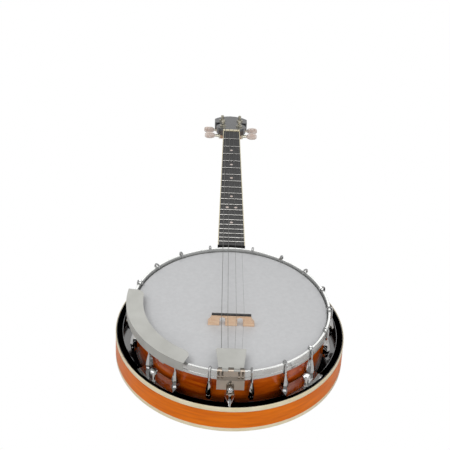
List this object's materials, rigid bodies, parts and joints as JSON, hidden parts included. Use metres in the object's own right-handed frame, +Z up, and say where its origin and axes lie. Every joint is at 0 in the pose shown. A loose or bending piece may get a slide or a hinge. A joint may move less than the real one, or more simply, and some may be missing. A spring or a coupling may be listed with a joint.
{
  "type": "four-string banjo",
  "caption": "Four-string tenor banjo with a resonator, flat armrest, hinged tailpiece cover and geared side tuners, lying on its back.",
  "frame": {"origin": "centre of the flat middle of the resonator's back, on the pot's axis", "axes": "+X to the right seen from the tail, +Y along the neck to the headstock, +Z up out of the drum head"},
  "size_m": [0.3316, 0.8397, 0.1111],
  "materials": {
    "chrome": "polished",
    "nickel": "polished",
    "satin_metal": "satin",
    "steel": "satin",
    "string_steel": "drawn",
    "amber_wood": "gloss lacquer",
    "orange_wood": "gloss lacquer",
    "maple": "satin",
    "ebony": "satin",
    "black_lacquer": "gloss lacquer",
    "face_black": "gloss",
    "head_white": "matte film",
    "cream_plastic": "gloss",
    "pearloid": "pearl gloss"
  },
  "bodies": {
    "banjo": {"rim": "amber_wood", "head": "head_white", "tension_hoop": "chrome", "resonator_side": "orange_wood", "resonator_lip": "black_lacquer", "resonator_back": "orange_wood", "resonator_binding": "cream_plastic", "coordinator_rod": "steel", "bridge_base": "maple", "bridge_cap": "ebony", "neck": "black_lacquer", "headstock_face": "face_black", "fingerboard": "ebony", "nut": "cream_plastic", "tailpiece_base": "nickel", "tail_hanger": "chrome", "armrest": "satin_metal", "hook_01": "chrome", "hook_02": "chrome", "hook_03": "chrome", "hook_04": "chrome", "hook_05": "chrome", "hook_06": "chrome", "hook_07": "chrome", "hook_08": "chrome", "hook_09": "chrome", "hook_10": "chrome", "hook_11": "chrome", "hook_12": "chrome", "hook_13": "chrome", "hook_14": "chrome", "hook_15": "chrome", "hook_16": "chrome", "hook_17": "chrome", "hook_18": "chrome", "resonator_bracket_1": "chrome", "resonator_bracket_2": "chrome", "resonator_bracket_3": "chrome", "resonator_bracket_4": "chrome", "string_1": "string_steel", "string_2": "string_steel", "string_3": "string_steel", "string_4": "string_steel", "tuner_housing_1": "chrome", "tuner_housing_2": "chrome", "tuner_housing_3": "chrome", "tuner_housing_4": "chrome"},
    "cover": {"tailpiece_cover": "nickel"},
    "post_1": {"tuner_post_1": "chrome"},
    "button_1": {"tuner_button_1": "pearloid"},
    "post_2": {"tuner_post_2": "chrome"},
    "button_2": {"tuner_button_2": "pearloid"},
    "post_3": {"tuner_post_3": "chrome"},
    "button_3": {"tuner_button_3": "pearloid"},
    "post_4": {"tuner_post_4": "chrome"},
    "button_4": {"tuner_button_4": "pearloid"},
    "thumb_1": {"thumbscrew_1": "chrome"},
    "thumb_2": {"thumbscrew_2": "chrome"},
    "thumb_3": {"thumbscrew_3": "chrome"},
    "thumb_4": {"thumbscrew_4": "chrome"}
  },
  "joints": [
    {"name": "cover_hinge", "type": "hinge", "parent": "banjo", "child": "cover", "pos_m": [0, -0.1445, 0.1025], "axis": [1, 0, 0], "range_deg": [0, 70]},
    {"name": "post_turn_1", "type": "hinge", "parent": "banjo", "child": "post_1", "pos_m": [-0.0155, 0.59758, 0.06329], "axis": [0, 0.2323, 0.9726], "continuous": true},
    {"name": "button_turn_1", "type": "hinge", "parent": "banjo", "child": "button_1", "pos_m": [-0.0155, 0.58662, 0.04843], "axis": [-1, 0, 0], "continuous": true},
    {"name": "post_turn_2", "type": "hinge", "parent": "banjo", "child": "post_2", "pos_m": [-0.017, 0.63745, 0.05377], "axis": [0, 0.2323, 0.9726], "continuous": true},
    {"name": "button_turn_2", "type": "hinge", "parent": "banjo", "child": "button_2", "pos_m": [-0.017, 0.6265, 0.0389], "axis": [-1, 0, 0], "continuous": true},
    {"name": "post_turn_3", "type": "hinge", "parent": "banjo", "child": "post_3", "pos_m": [0.0155, 0.59758, 0.06329], "axis": [0, 0.2323, 0.9726], "continuous": true},
    {"name": "button_turn_3", "type": "hinge", "parent": "banjo", "child": "button_3", "pos_m": [0.0155, 0.58662, 0.04843], "axis": [1, 0, 0], "continuous": true},
    {"name": "post_turn_4", "type": "hinge", "parent": "banjo", "child": "post_4", "pos_m": [0.017, 0.63745, 0.05377], "axis": [0, 0.2323, 0.9726], "continuous": true},
    {"name": "button_turn_4", "type": "hinge", "parent": "banjo", "child": "button_4", "pos_m": [0.017, 0.6265, 0.0389], "axis": [1, 0, 0], "continuous": true},
    {"name": "thumb_turn_1", "type": "hinge", "parent": "banjo", "child": "thumb_1", "pos_m": [-0.10261, -0.12014, 0.0544], "axis": [0, 0, 1], "continuous": true},
    {"name": "thumb_turn_2", "type": "hinge", "parent": "banjo", "child": "thumb_2", "pos_m": [0.10261, -0.12014, 0.0544], "axis": [0, 0, 1], "continuous": true},
    {"name": "thumb_turn_3", "type": "hinge", "parent": "banjo", "child": "thumb_3", "pos_m": [-0.10674, 0.11649, 0.0544], "axis": [0, 0, 1], "continuous": true},
    {"name": "thumb_turn_4", "type": "hinge", "parent": "banjo", "child": "thumb_4", "pos_m": [0.10674, 0.11649, 0.0544], "axis": [0, 0, 1], "continuous": true}
  ],
  "couplings": [
    {"joint": "button_turn_1", "follows": "post_turn_1", "ratio": 14},
    {"joint": "button_turn_2", "follows": "post_turn_2", "ratio": 14},
    {"joint": "button_turn_3", "follows": "post_turn_3", "ratio": 14},
    {"joint": "button_turn_4", "follows": "post_turn_4", "ratio": 14}
  ]
}
